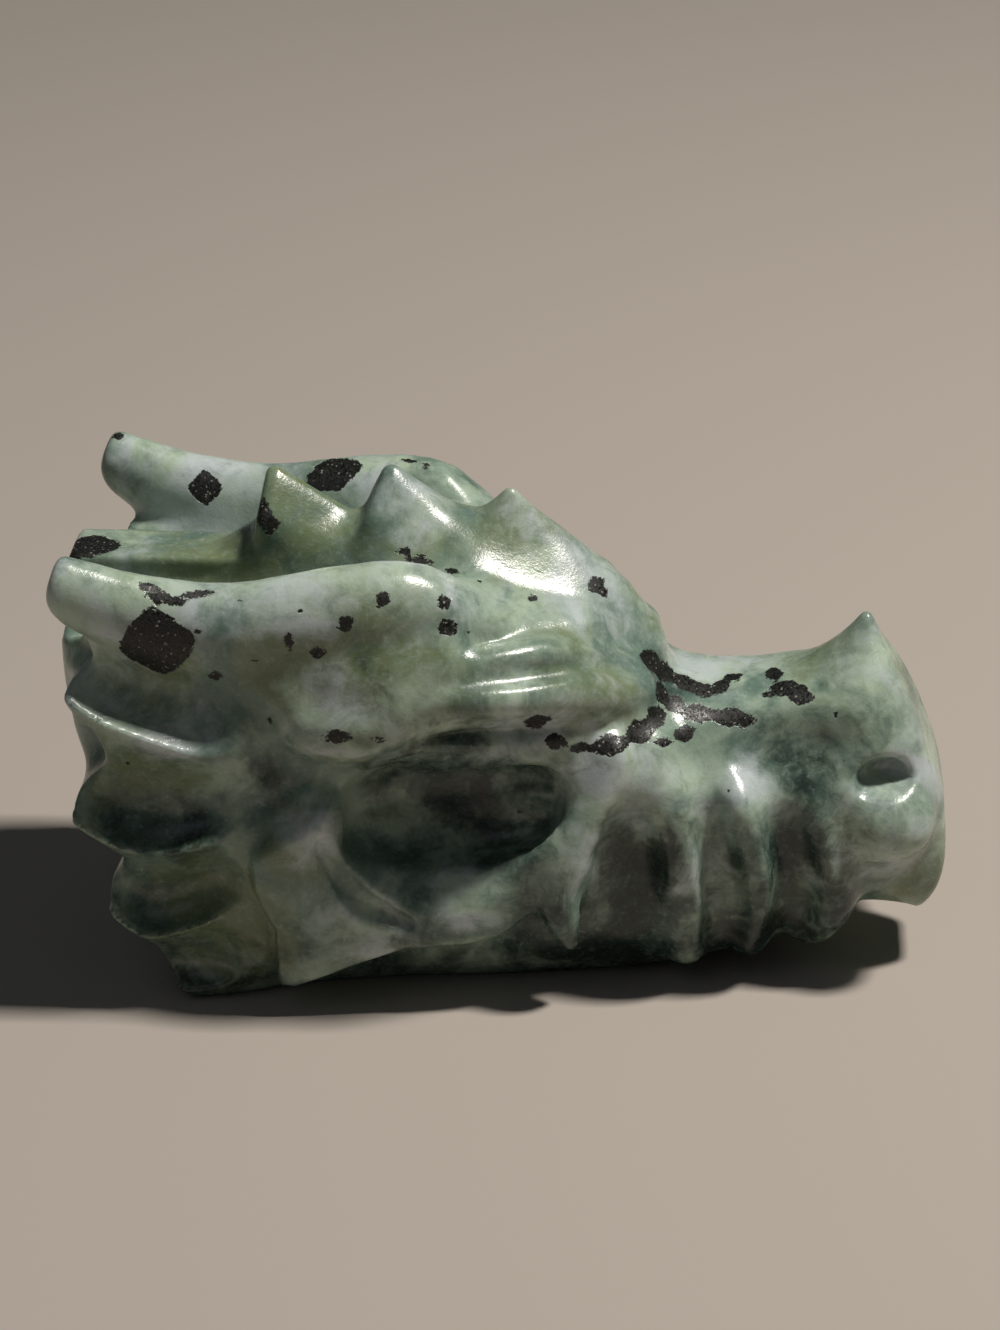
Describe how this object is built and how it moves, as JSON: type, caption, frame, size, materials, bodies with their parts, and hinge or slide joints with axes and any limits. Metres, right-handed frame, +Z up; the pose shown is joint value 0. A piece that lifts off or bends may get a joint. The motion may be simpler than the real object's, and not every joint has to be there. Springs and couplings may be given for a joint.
{
  "type": "carved stone dragon head",
  "caption": "Solid dragon head carved from polished jasper, with swept-back horns, crown spikes and a nose horn; it rests on a flat underside.",
  "frame": {"origin": "centre of the bounding box in plan, at the flat underside the head rests on", "axes": "+X from the nape towards the nose, +Y to the dragon's left, +Z up"},
  "size_m": [0.05, 0.0242, 0.0289],
  "materials": {
    "jasper": "polished green and grey-white mottled stone with grainy black inclusions"
  },
  "bodies": {
    "root": {"dragon_head": "jasper"}
  },
  "joints": []
}
